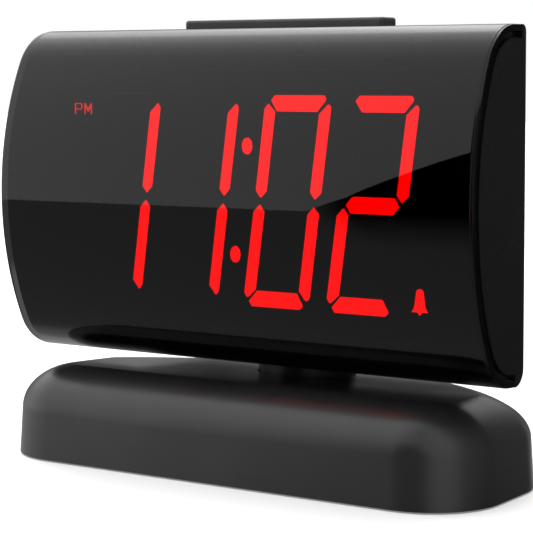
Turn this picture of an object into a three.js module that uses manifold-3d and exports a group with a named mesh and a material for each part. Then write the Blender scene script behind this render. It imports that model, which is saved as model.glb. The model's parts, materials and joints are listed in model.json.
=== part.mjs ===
// Bedside alarm clock: a wide curved digital display head on a swivel neck, carried by a weighted base.
// Millimetres, +Z up. The display faces -Y. The origin is on the table, under the middle of the object.
import * as THREE from 'three';
import { mergeVertices } from 'three/addons/utils/BufferGeometryUtils.js';
import Module from 'manifold-3d';

const wasm = await Module();
wasm.setup();

// ---------------------------------------------------------------- driving dimensions

const GAP = 0.3;                      // room between pieces that touch

const HEAD = {
  halfWidth: 82.5,
  halfHeight: 50.5,
  centreZ: 82,
  frontY: -39.6,                      // foremost line of the curved lens
  rearY: -7.6,
  frontRadius: 93.1,                  // the lens' bulge
  cornerRadius: 17.6,                 // where the bulge turns into the flat top and bottom
  rearTopRadius: 2.2,
  rearBottomRadius: 5.2,
  wall: 2,
};
const LENS = { thickness: 2, topEndY: -10.3, bottomEndY: -13.3, sideGroove: 1.5, steps: 9 };
const COVER = { halfWidth: 55, rearY: 27, wall: 2, cornerRadius: 8, screwX: 48, screwZ: 43 };
const SWIVEL = { y: 9.7, neckRadius: 15.2, shaftRadius: 9, retainerRadius: 14, seatZ: 23.6 };
const BASE = {
  halfWidth: 82.6,
  frontY: -45,
  rearY: 45,
  frontCornerRadius: 22.1,
  sideCornerRadius: 20,
  sideCornerY: -5,
  bottomZ: 0.5,
  shoulderZ: 14.3,                    // where the drafted side ends and the rounded shoulder starts
  draftInset: 0.8,
  shoulderInset: 15.2,
  creaseZ: 27.9,                      // height of the top face along its front edge
  topTilt: THREE.MathUtils.degToRad(4),
  wall: 2.2,
};
const SNOOZE = { halfLength: 35.8, frontY: -6, rearY: 2.3, rise: 2.9, travel: 1.5, cornerRadius: 2 };
const DIGIT = {
  y: -27,                             // face of the segment mask
  slant: 0.131,
  centresX: [-44.3, -15.6, 16.4, 44.9],
  centreZ: 81.6,
  plateHalfWidth: 12.9,
  plateHalfHeight: 31.7,
};
// Corners of a digit's bars, (x, z) from the middle of the digit before it is slanted.
const TOP_BAR = [[-9.3, 29.6], [-8.1, 31.1], [8.1, 31.1], [9.3, 29.6], [6.85, 26.4], [-6.85, 26.4]];
const MIDDLE_BAR = [[-8.55, 0], [-6.75, 2.35], [6.75, 2.35], [8.55, 0], [6.75, -2.35], [-6.75, -2.35]];
const UPPER_RIGHT_BAR = [[10.2, 28.5], [11.25, 27.15], [11.15, 3.2], [9.4, 1.1], [7.55, 3.2], [7.6, 25.75]];
const COLON = { x: 0.4, spacing: 15.9, halfWidth: 1.75, halfHeight: 2.4 };
const WINDOW = { halfWidth: 76.5, halfHeight: 39 };
// The letters P and M and a small bell: the clock's two indicators.
const LETTERS = { x: -63.5, z: 106.1, height: 3.8, width: 3.3, space: 1.2, stroke: 0.65 };
const BELL = { x: 60, bottomZ: 51.6, domeZ: 57.7, domeRadius: 1.35, skirtHalfWidth: 2.7, skirtZ: 52.6 };
const CONTROL = { buttonX: [-30, -16, -2, 12], buttonZ: 112, buttonRadius: 3.6, travel: 1 };
const BUTTON_NAMES = ['set_button', 'alarm_button', 'minus_button', 'plus_button'];
const ALARM = { x: 26, z: 112, slotHalf: 5, travel: 4 };
const DIMMER = { x: 40, y: 19.6, z: 100, radius: 9, halfThickness: 2, slotHalf: 7.8, teeth: 32 };
const JACK = { x: 34, z: 48, mouthRadius: 4.2, boreRadius: 2.9, pinRadius: 1 };
const BAY = { x0: -48, x1: -20, z0: 52, z1: 80, lipDepth: 1.4 };
const SPEAKER = { x: 0, z: 60, ringRadius: 4, holeRadius: 0.9 };
const CONTROL_BOARD = { y0: 15.6, y1: 17.2 };
const MAIN_BOARD = { y0: -18.5, y1: -16.9 };
const PLATE = { bottomZ: 1, topZ: 3 };
const FOOT = { radius: 5.6, height: 0.9 };
const FEET = {
  foot_front_left: [-66, -28],
  foot_front_right: [66, -28],
  foot_rear_left: [-50, 20],
  foot_rear_right: [50, 20],
};
const BASE_SCREWS = [[-58, -26], [58, -26], [-40, 22], [40, 22]];
const HUB_SCREWS = [[-11.6, SWIVEL.y], [11.6, SWIVEL.y]];

const HEAD_TOP = HEAD.centreZ + HEAD.halfHeight;
const HEAD_BOTTOM = HEAD.centreZ - HEAD.halfHeight;
const HUB = { bottomZ: SWIVEL.seatZ + 1, topZ: HEAD_BOTTOM - GAP, shaftBottomZ: SWIVEL.seatZ - 10.6 };
const COVER_SCREWS = [-1, 1].flatMap((sx) => [-1, 1].map((sz) => [
  sx * COVER.screwX, HEAD.centreZ + sz * COVER.screwZ]));

// ---------------------------------------------------------------- materials

function material(color, roughness, metalness = 0) {
  return new THREE.MeshStandardMaterial({ color, roughness, metalness });
}
const tintedLens = material(0x08080a, 0.06);
const satinBlack = material(0x1c1c1e, 0.4);
const matteBlack = material(0x101012, 0.6);
const redGlow = material(0xff2014, 0.5);
const greenBoard = material(0x14502c, 0.6);
const darkRubber = material(0x151515, 0.9);
const steel = material(0xa8acb0, 0.35, 1);
const acetal = material(0xe4e2da, 0.5);

// ---------------------------------------------------------------- solids

function toManifold(geometry) {
  const bare = geometry.clone();
  bare.deleteAttribute('normal');
  bare.deleteAttribute('uv');
  const merged = mergeVertices(bare, 1e-4);
  const index = merged.index.array;
  const triangles = [];
  for (let i = 0; i < index.length; i += 3) {
    const [a, b, c] = [index[i], index[i + 1], index[i + 2]];
    if (a !== b && b !== c && c !== a) triangles.push(a, b, c);
  }
  return new wasm.Manifold(new wasm.Mesh({
    numProp: 3,
    vertProperties: new Float32Array(merged.attributes.position.array),
    triVerts: new Uint32Array(triangles),
  }));
}

function toGeometry(solid) {
  const mesh = solid.getMesh();
  const geometry = new THREE.BufferGeometry();
  geometry.setAttribute('position', new THREE.BufferAttribute(mesh.vertProperties, 3));
  geometry.setIndex(new THREE.BufferAttribute(mesh.triVerts, 1));
  return geometry;
}

// The first geometry joined with the ones in `add`, then cut by the ones in `cut`.
function carve(first, { add = [], cut = [] }) {
  let solid = toManifold(first);
  for (const piece of add) solid = solid.add(toManifold(piece));
  for (const piece of cut) solid = solid.subtract(toManifold(piece));
  return toGeometry(solid);
}

function common(first, second) {
  return toGeometry(toManifold(first).intersect(toManifold(second)));
}

const X = new THREE.Vector3(1, 0, 0);
const Y = new THREE.Vector3(0, 1, 0);
const Z = new THREE.Vector3(0, 0, 1);

const CURVE_STEPS = 5;                // points per arc are twice this

function extrude(shape, depth) {
  return new THREE.ExtrudeGeometry(shape, { depth, bevelEnabled: false, curveSegments: CURVE_STEPS });
}

// A shape drawn in (y, z), run along X.
function alongX(shape, x0, x1) {
  const turn = new THREE.Matrix4().makeBasis(Y, Z, X);
  return extrude(shape, x1 - x0).applyMatrix4(turn).translate(x0, 0, 0);
}

// A shape drawn in (x, z), run along Y.
function alongY(shape, y0, y1) {
  const turn = new THREE.Matrix4().makeBasis(X, Z, Y.clone().negate());
  return extrude(shape, y1 - y0).applyMatrix4(turn).translate(0, y1, 0);
}

// A shape drawn in (x, y), run along Z.
function alongZ(shape, z0, z1) {
  return extrude(shape, z1 - z0).translate(0, 0, z0);
}

function box(x0, x1, y0, y1, z0, z1) {
  return new THREE.BoxGeometry(x1 - x0, y1 - y0, z1 - z0)
    .translate((x0 + x1) / 2, (y0 + y1) / 2, (z0 + z1) / 2);
}

function rodZ(radius, z0, z1, x, y, sides = 24) {
  return new THREE.CylinderGeometry(radius, radius, z1 - z0, sides)
    .rotateX(Math.PI / 2).translate(x, y, (z0 + z1) / 2);
}

function rodY(radius, y0, y1, x, z, sides = 24) {
  return new THREE.CylinderGeometry(radius, radius, y1 - y0, sides).translate(x, (y0 + y1) / 2, z);
}

function roundedRect(x0, x1, y0, y1, radius) {
  const shape = new THREE.Shape();
  shape.absarc(x1 - radius, y0 + radius, radius, -Math.PI / 2, 0);
  shape.absarc(x1 - radius, y1 - radius, radius, 0, Math.PI / 2);
  shape.absarc(x0 + radius, y1 - radius, radius, Math.PI / 2, Math.PI);
  shape.absarc(x0 + radius, y0 + radius, radius, Math.PI, 1.5 * Math.PI);
  shape.closePath();
  return shape;
}

// A closed skin through rings of points, each ring with the same number of points.
function loft(rings) {
  const count = rings[0].length;
  const positions = rings.flat().flatMap((p) => [p.x, p.y, p.z]);
  const index = [];
  for (let r = 0; r + 1 < rings.length; r += 1) {
    for (let i = 0; i < count; i += 1) {
      const j = (i + 1) % count;
      const [a, b, c, d] = [r * count + i, r * count + j, (r + 1) * count + j, (r + 1) * count + i];
      index.push(a, b, c, a, c, d);
    }
  }
  const caps = [[0, true], [rings.length - 1, false]];
  for (const [r, downwards] of caps) {
    const middle = new THREE.Vector3();
    rings[r].forEach((p) => middle.addScaledVector(p, 1 / count));
    const hub = positions.length / 3;
    positions.push(middle.x, middle.y, middle.z);
    for (let i = 0; i < count; i += 1) {
      const [a, b] = [r * count + i, r * count + (i + 1) % count];
      index.push(...(downwards ? [hub, b, a] : [hub, a, b]));
    }
  }
  const geometry = new THREE.BufferGeometry();
  geometry.setAttribute('position', new THREE.Float32BufferAttribute(positions, 3));
  geometry.setIndex(index);
  return geometry;
}

function named(name, geometry, finish) {
  const mesh = new THREE.Mesh(geometry, finish);
  mesh.name = name;
  return mesh;
}

// A screw with a countersunk head: its head's outer face is at the origin, its shank runs along -Y.
function screwGeometry(headRadius, shankRadius, length) {
  const headDepth = headRadius - shankRadius;
  const profile = [
    new THREE.Vector2(0, -length),
    new THREE.Vector2(shankRadius * 0.5, -length),
    new THREE.Vector2(shankRadius, -length + shankRadius),
    new THREE.Vector2(shankRadius, -headDepth),
    new THREE.Vector2(headRadius, 0),
    new THREE.Vector2(headRadius * 0.35, 0),
    new THREE.Vector2(headRadius * 0.3, -headDepth * 0.7),
    new THREE.Vector2(0, -headDepth * 0.7),
  ];
  return new THREE.LatheGeometry(profile, 10);
}

// ---------------------------------------------------------------- base

const SHOULDER_STEPS = 5;

function topZ(y) {
  const creaseY = BASE.frontY + BASE.draftInset + BASE.shoulderInset;
  return BASE.creaseZ - (y - creaseY) * Math.tan(BASE.topTilt);
}

function arcPoints(cx, cy, radius, from, to, steps) {
  const points = [];
  for (let i = 0; i <= steps; i += 1) {
    const angle = from + (to - from) * i / steps;
    points.push(new THREE.Vector2(cx + radius * Math.cos(angle), cy + radius * Math.sin(angle)));
  }
  return points;
}

// Plan of the base, `inset` inside its outermost edge: straight front, short sides, one broad rear arc.
function baseOutline(inset) {
  const frontX = BASE.halfWidth - BASE.frontCornerRadius;
  const frontY = BASE.frontY + BASE.frontCornerRadius;
  const sideX = BASE.halfWidth - BASE.sideCornerRadius;
  const reach = BASE.rearY - BASE.sideCornerY;
  const rearRadius = (sideX ** 2 + reach ** 2 - BASE.sideCornerRadius ** 2)
    / (2 * (reach - BASE.sideCornerRadius));
  const rearCentreY = BASE.rearY - rearRadius;
  const turn = Math.atan2(BASE.sideCornerY - rearCentreY, sideX);
  const frontRadius = BASE.frontCornerRadius - inset;
  const sideRadius = BASE.sideCornerRadius - inset;
  return [
    ...arcPoints(frontX, frontY, frontRadius, -Math.PI / 2, 0, 6),
    ...arcPoints(sideX, BASE.sideCornerY, sideRadius, 0, turn, 3),
    ...arcPoints(0, rearCentreY, rearRadius - inset, turn, Math.PI - turn, 14).slice(1, -1),
    ...arcPoints(-sideX, BASE.sideCornerY, sideRadius, Math.PI - turn, Math.PI, 3),
    ...arcPoints(-frontX, frontY, frontRadius, Math.PI, 1.5 * Math.PI, 6),
  ];
}

// The base's outer form, or the hollow inside it when `wall` is not 0.
function baseForm(wall) {
  const level = (inset, height) => baseOutline(inset + wall)
    .map((p) => new THREE.Vector3(p.x, p.y, height(p.y)));
  const rings = [
    level(0, () => (wall ? -1 : BASE.bottomZ)),
    level(BASE.draftInset, () => BASE.shoulderZ),
  ];
  for (let i = 1; i <= SHOULDER_STEPS; i += 1) {
    const angle = (Math.PI / 2) * i / SHOULDER_STEPS;
    const inset = BASE.draftInset + BASE.shoulderInset * (1 - Math.cos(angle));
    const height = (y) => BASE.shoulderZ + (topZ(y) - wall - BASE.shoulderZ) * Math.sin(angle);
    rings.push(level(inset, height));
  }
  return loft(rings);
}

function makeBase() {
  const group = new THREE.Group();
  const outer = baseForm(0);
  const collarZ = SWIVEL.seatZ - 10.4;
  const bosses = BASE_SCREWS.map(([x, y]) => common(rodZ(4, PLATE.topZ + GAP, 40, x, y, 16), outer));
  const collar = common(rodZ(SWIVEL.neckRadius + 3, collarZ, 40, 0, SWIVEL.y, 32), outer);
  const shell = carve(outer, { cut: [baseForm(BASE.wall)] });
  group.add(named('base_shell', carve(shell, {
    add: [...bosses, collar],
    cut: [
      rodZ(SWIVEL.neckRadius + 0.5, SWIVEL.seatZ, 40, 0, SWIVEL.y, 48),
      rodZ(SWIVEL.shaftRadius + GAP, 0, 40, 0, SWIVEL.y, 32),
      ...BASE_SCREWS.map(([x, y]) => rodZ(1.7, 0, 14, x, y, 12)),
    ],
  }), satinBlack));

  const plateShape = new THREE.Shape(baseOutline(BASE.wall + 0.8));
  group.add(named('base_bottom_plate', carve(alongZ(plateShape, PLATE.bottomZ, PLATE.topZ), {
    cut: BASE_SCREWS.flatMap(([x, y]) => [
      rodZ(2, 0, 5, x, y, 12),
      rodZ(3.6, 0, PLATE.bottomZ + 1.4, x, y, 16),
    ]),
  }), matteBlack));

  BASE_SCREWS.forEach(([x, y], i) => {
    const screw = named(`base_screw_${i + 1}`, screwGeometry(3, 1.5, 9), steel);
    screw.rotation.x = -Math.PI / 2;
    screw.position.set(x, y, PLATE.bottomZ + 0.2);
    group.add(screw);
  });

  for (const [name, [x, y]] of Object.entries(FEET)) {
    const { radius, height } = FOOT;
    const profile = [[0, 0], [radius - 0.6, 0], [radius, 0.5], [radius, height], [0, height]]
      .map(([r, z]) => new THREE.Vector2(r, z));
    const mesh = named(name, new THREE.LatheGeometry(profile, 16), darkRubber);
    mesh.rotation.x = Math.PI / 2;
    mesh.position.set(x, y, 0);
    group.add(mesh);
  }

  const weight = roundedRect(-45, 45, -30, -12, 3);
  group.add(named('ballast_weight', alongZ(weight, PLATE.topZ + GAP, PLATE.topZ + 6.3), steel));

  const washer = new THREE.Shape().absarc(0, SWIVEL.y, SWIVEL.neckRadius - 0.4, 0, 2 * Math.PI);
  washer.holes.push(new THREE.Path().absarc(0, SWIVEL.y, SWIVEL.shaftRadius + 0.6, 0, 2 * Math.PI));
  const washerZ = SWIVEL.seatZ + 0.1;
  group.add(named('friction_washer', alongZ(washer, washerZ, washerZ + 0.6), acetal));
  return group;
}

// ---------------------------------------------------------------- head: swivel neck

function makeSwivel() {
  const group = new THREE.Group();
  const clampZ = HEAD_BOTTOM + COVER.wall + GAP;
  const [x, y] = [0, SWIVEL.y];
  group.add(named('swivel_neck', carve(rodZ(SWIVEL.neckRadius, HUB.bottomZ, HUB.topZ, x, y, 64), {
    add: [
      rodZ(SWIVEL.shaftRadius, HUB.shaftBottomZ, HUB.bottomZ + 1, x, y, 32),
      rodZ(7, HUB.topZ - 1, clampZ - 0.1, x, y, 32),
    ],
    cut: [
      rodZ(2.2, 0, HUB.bottomZ - 2, x, y, 16),
      ...HUB_SCREWS.map(([sx, sy]) => rodZ(1.6, HUB.bottomZ + 1, HUB.topZ + 5, sx, sy, 12)),
    ],
  }), satinBlack));

  const retainer = new THREE.Shape().absarc(x, y, SWIVEL.retainerRadius, 0, 2 * Math.PI);
  retainer.holes.push(new THREE.Path().absarc(x, y, 2.2, 0, 2 * Math.PI));
  const retainerTop = HUB.shaftBottomZ - 0.1;
  group.add(named('swivel_retainer', alongZ(retainer, retainerTop - 2, retainerTop), steel));

  const retainerScrew = named('retainer_screw', screwGeometry(4, 1.9, 10), steel);
  retainerScrew.rotation.x = -Math.PI / 2;
  retainerScrew.position.set(x, y, retainerTop - 2 - 2.3);
  group.add(retainerScrew);

  const clamp = new THREE.Shape().absarc(x, y, 14, 0, 2 * Math.PI);
  const holes = [[x, y, 7.4], ...HUB_SCREWS.map(([sx, sy]) => [sx, sy, 1.7])];
  for (const [hx, hy, radius] of holes) {
    clamp.holes.push(new THREE.Path().absarc(hx, hy, radius, 0, 2 * Math.PI));
  }
  group.add(named('neck_clamp_ring', alongZ(clamp, clampZ, clampZ + 1.6), steel));
  HUB_SCREWS.forEach(([sx, sy], i) => {
    const screw = named(`neck_screw_${i + 1}`, screwGeometry(2.6, 1.3, 9), steel);
    screw.rotation.x = Math.PI / 2;
    screw.position.set(sx, sy, clampZ + 1.6 + 1.5);
    group.add(screw);
  });
  return group;
}

// ---------------------------------------------------------------- head: lens, housing and cover

// Adds the head's side profile, `offset` inside the lens' outer face, from its top end to its bottom end.
function addFrontCurve(shape, offset) {
  const cornerZ = HEAD.halfHeight - HEAD.cornerRadius;
  const reach = Math.sqrt((HEAD.frontRadius - HEAD.cornerRadius) ** 2 - cornerZ ** 2);
  const frontCentreY = HEAD.frontY + HEAD.frontRadius;
  const cornerY = frontCentreY - reach;
  const turn = Math.PI - Math.atan2(cornerZ, reach);
  const radius = HEAD.cornerRadius - offset;
  shape.absarc(cornerY, HEAD.centreZ + cornerZ, radius, Math.PI / 2, turn);
  shape.absarc(frontCentreY, HEAD.centreZ, HEAD.frontRadius - offset, turn, 2 * Math.PI - turn);
  shape.absarc(cornerY, HEAD.centreZ - cornerZ, radius, 2 * Math.PI - turn, 1.5 * Math.PI);
}

function lensShape() {
  const outer = new THREE.Shape();
  outer.moveTo(LENS.topEndY, HEAD_TOP);
  addFrontCurve(outer, 0);
  outer.lineTo(LENS.bottomEndY, HEAD_BOTTOM);
  const inner = new THREE.Shape();
  inner.moveTo(LENS.topEndY, HEAD_TOP - LENS.thickness);
  addFrontCurve(inner, LENS.thickness);
  inner.lineTo(LENS.bottomEndY, HEAD_BOTTOM + LENS.thickness);
  return new THREE.Shape([...outer.getPoints(LENS.steps), ...inner.getPoints(LENS.steps).reverse()]);
}

// The housing's side profile: rounded at the rear, stepped in where the lens lies on it.
function housingShape(offset) {
  const [topR, bottomR] = [HEAD.rearTopRadius, HEAD.rearBottomRadius];
  const shape = new THREE.Shape();
  shape.absarc(HEAD.rearY - topR, HEAD_TOP - topR, topR, 0, Math.PI / 2);
  shape.lineTo(LENS.topEndY + GAP, HEAD_TOP);
  shape.lineTo(LENS.topEndY + GAP, HEAD_TOP - offset);
  addFrontCurve(shape, offset);
  shape.lineTo(LENS.bottomEndY + GAP, HEAD_BOTTOM + offset);
  shape.lineTo(LENS.bottomEndY + GAP, HEAD_BOTTOM);
  shape.absarc(HEAD.rearY - bottomR, HEAD_BOTTOM + bottomR, bottomR, 1.5 * Math.PI, 2 * Math.PI);
  shape.closePath();
  return shape;
}

function cavityShape() {
  const offset = LENS.thickness + GAP + HEAD.wall;
  const shape = new THREE.Shape();
  const rear = HEAD.rearY - HEAD.wall;
  shape.moveTo(rear, HEAD_TOP - offset);
  addFrontCurve(shape, offset);
  shape.lineTo(rear, HEAD_BOTTOM + offset);
  shape.closePath();
  return shape;
}

function makeHeadShells() {
  const group = new THREE.Group();
  group.add(named('display_lens', alongX(lensShape(), -HEAD.halfWidth, HEAD.halfWidth), tintedLens));

  const seat = LENS.thickness + GAP;
  const grooveX = HEAD.halfWidth - LENS.sideGroove;
  const opening = roundedRect(-50, 50, HEAD_BOTTOM + 9, HEAD_TOP - 9, 6);
  group.add(named('display_housing', carve(alongX(housingShape(seat), -grooveX, grooveX), {
    add: [alongX(housingShape(seat + 1.6), -HEAD.halfWidth, HEAD.halfWidth)],
    cut: [
      alongX(cavityShape(), -HEAD.halfWidth + HEAD.wall + 0.7, HEAD.halfWidth - HEAD.wall - 0.7),
      box(-WINDOW.halfWidth, WINDOW.halfWidth, -60, -24,
        HEAD.centreZ - WINDOW.halfHeight, HEAD.centreZ + WINDOW.halfHeight),
      alongY(opening, -15, 0),
      ...COVER_SCREWS.map(([x, z]) => rodY(1.5, -15, 0, x, z, 12)),
    ],
  }), satinBlack));

  const coverFront = HEAD.rearY + GAP;
  const outline = (inset) => roundedRect(-COVER.halfWidth + inset, COVER.halfWidth - inset,
    HEAD_BOTTOM + inset, HEAD_TOP - 0.1 - inset, COVER.cornerRadius - inset);
  const pillars = COVER_SCREWS.map(([x, z]) => rodY(4.6, coverFront, COVER.rearY - 1, x, z, 20));
  const slot = roundedRect(-SNOOZE.halfLength - GAP, SNOOZE.halfLength + GAP,
    SNOOZE.frontY - GAP, SNOOZE.rearY + GAP, SNOOZE.cornerRadius + GAP);
  const rear = COVER.rearY;
  group.add(named('rear_cover', carve(carve(alongY(outline(0), coverFront, rear), {
    cut: [alongY(outline(COVER.wall), coverFront - 1, rear - COVER.wall)],
  }), {
    add: pillars,
    cut: [
      ...COVER_SCREWS.flatMap(([x, z]) => [
        rodY(1.7, -15, 40, x, z, 12),
        rodY(3.6, rear - 3, 40, x, z, 20),
      ]),
      alongZ(slot, HEAD_TOP - 5, HEAD_TOP + 5),
      rodZ(7.3, 20, HEAD_BOTTOM + 5, 0, SWIVEL.y, 32),
      ...HUB_SCREWS.map(([x, y]) => rodZ(1.6, 20, HEAD_BOTTOM + 5, x, y, 12)),
      ...CONTROL.buttonX.map((x) => rodY(CONTROL.buttonRadius + GAP, 20, 40, x, CONTROL.buttonZ, 28)),
      box(ALARM.x - ALARM.slotHalf, ALARM.x + ALARM.slotHalf, 20, 40, ALARM.z - 2, ALARM.z + 2),
      box(DIMMER.x - DIMMER.slotHalf, DIMMER.x + DIMMER.slotHalf, 20, 40,
        DIMMER.z - DIMMER.halfThickness - 0.5, DIMMER.z + DIMMER.halfThickness + 0.5),
      rodY(JACK.mouthRadius, 20, 40, JACK.x, JACK.z, 28),
      alongY(roundedRect(BAY.x0, BAY.x1, BAY.z0, BAY.z1, 2), rear - BAY.lipDepth, rear + 5),
      alongY(roundedRect(BAY.x0 + 2, BAY.x1 - 2, BAY.z0 + 2, BAY.z1 - 2, 2), 20, 40),
      ...soundHoles().map(([x, z]) => rodY(SPEAKER.holeRadius, 20, 40, x, z, 8)),
    ],
  }), satinBlack));

  COVER_SCREWS.forEach(([x, z], i) => {
    const screw = named(`cover_screw_${i + 1}`, screwGeometry(3, 1.3, 36), steel);
    screw.position.set(x, rear - 1.1, z);
    group.add(screw);
  });
  return group;
}

// ---------------------------------------------------------------- head: display

function leaning(points, centreX) {
  return new THREE.Shape(points.map(([x, z]) => new THREE.Vector2(
    centreX + x + z * DIGIT.slant, DIGIT.centreZ + z)));
}

// The same corners, each moved `grow` outward from the middle of the bar in x and in z.
function widened(points, grow) {
  const middle = [0, 1].map((k) => points.reduce((sum, p) => sum + p[k], 0) / points.length);
  return points.map((p) => [0, 1].map((k) => p[k] + Math.sign(p[k] - middle[k]) * grow));
}

function digitBars(centreX, grow) {
  const mirrored = (points, sx, sz) => points.map(([x, z]) => [sx * x, sz * z]);
  const bars = [
    TOP_BAR,
    mirrored(TOP_BAR, 1, -1),
    MIDDLE_BAR,
    ...[[1, 1], [-1, 1], [1, -1], [-1, -1]].map(([sx, sz]) => mirrored(UPPER_RIGHT_BAR, sx, sz)),
  ];
  return bars.map((points) => leaning(widened(points, grow), centreX));
}

function slantedPlate(x, z, halfWidth, halfHeight) {
  const corners = [[-1, -1], [1, -1], [1, 1], [-1, 1]];
  return leaning(corners.map(([sx, sz]) => [sx * halfWidth, z - DIGIT.centreZ + sz * halfHeight]), x);
}

function colonShapes(grow) {
  return [-1, 1].map((side) => new THREE.Shape().absellipse(
    COLON.x + side * COLON.spacing * DIGIT.slant, DIGIT.centreZ + side * COLON.spacing,
    COLON.halfWidth + grow, COLON.halfHeight + grow, 0, 2 * Math.PI));
}

function letterShapes() {
  const { x: left, z: foot, height: h, width: w, space, stroke } = LETTERS;
  const half = (w - stroke) / 2;
  const bars = [
    [0, stroke, 0, h],
    [0, w, h - stroke, h],
    [0, w, (h - stroke) / 2, (h + stroke) / 2],
    [w - stroke, w, h / 2, h],
    ...[0, half, w - stroke].map((x) => [w + space + x, w + space + x + stroke, 0, h]),
    [w + space, 2 * w + space, h - stroke, h],
  ];
  return bars.map(([x0, x1, z0, z1]) => new THREE.Shape(
    [[x0, z0], [x1, z0], [x1, z1], [x0, z1]].map(([x, z]) => new THREE.Vector2(left + x, foot + z))));
}

function bellShape() {
  const { x, bottomZ, domeZ, domeRadius, skirtHalfWidth, skirtZ } = BELL;
  const shape = new THREE.Shape();
  shape.moveTo(x - skirtHalfWidth, skirtZ);
  shape.lineTo(x - 0.9, skirtZ);
  shape.lineTo(x, bottomZ);
  shape.lineTo(x + 0.9, skirtZ);
  shape.lineTo(x + skirtHalfWidth, skirtZ);
  shape.quadraticCurveTo(x + 1.5, skirtZ + 1.4, x + domeRadius, domeZ);
  shape.absarc(x, domeZ, domeRadius, 0, Math.PI);
  shape.quadraticCurveTo(x - 1.5, skirtZ + 1.4, x - skirtHalfWidth, skirtZ);
  return shape;
}

function makeDisplay() {
  const group = new THREE.Group();
  const face = DIGIT.y;
  const maskBack = face + 0.6;
  const guideFront = face + 0.1;
  const plate = [maskBack + GAP, maskBack + GAP + 0.8];
  const guide = (name, shapes, x, z, halfWidth, halfHeight) => group.add(named(name,
    carve(alongY(slantedPlate(x, z, halfWidth, halfHeight), plate[0], plate[1]), {
      add: shapes.map((shape) => alongY(shape, guideFront, plate[0] + 0.2)),
    }), redGlow));

  const windows = [...DIGIT.centresX.flatMap((x) => digitBars(x, 0.2)), ...colonShapes(0.2)]
    .map((shape) => alongY(shape, face - 2, maskBack + 0.1));
  const indicatorWindows = [
    box(-64.4, -54.8, face - 2, maskBack + 0.1, 105.2, 110.8),
    box(56.8, 63.2, face - 2, maskBack + 0.1, 51, 59.8),
  ];
  const sheet = roundedRect(-74, 74, HEAD.centreZ - 37.5, HEAD.centreZ + 37.5, 2);
  group.add(named('segment_mask', carve(alongY(sheet, face, maskBack), {
    cut: [...windows, ...indicatorWindows],
  }), matteBlack));

  const names = ['digit_hours_tens', 'digit_hours_units', 'digit_minutes_tens', 'digit_minutes_units'];
  names.forEach((name, i) => {
    const x = DIGIT.centresX[i];
    guide(name, digitBars(x, 0), x, DIGIT.centreZ, DIGIT.plateHalfWidth, DIGIT.plateHalfHeight);
  });
  guide('colon_light_guide', colonShapes(0), COLON.x, DIGIT.centreZ, 2.3, 19);
  guide('pm_light_guide', letterShapes(), -63.1, 108, 4.7, 2.6);
  guide('bell_light_guide', [bellShape()], 63.4, 55.3, 3.4, 4.2);

  const board = roundedRect(-73, 73, HEAD.centreZ - 36.5, HEAD.centreZ + 36.5, 2);
  group.add(named('led_board', alongY(board, plate[1] + 1.2, plate[1] + 2.8), greenBoard));
  return group;
}

// ---------------------------------------------------------------- head: controls and electronics

function soundHoles() {
  const ring = [0, 1, 2, 3, 4, 5].map((i) => Math.PI * i / 3);
  return [[SPEAKER.x, SPEAKER.z], ...ring.map((angle) => [
    SPEAKER.x + SPEAKER.ringRadius * Math.cos(angle),
    SPEAKER.z + SPEAKER.ringRadius * Math.sin(angle),
  ])];
}

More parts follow.
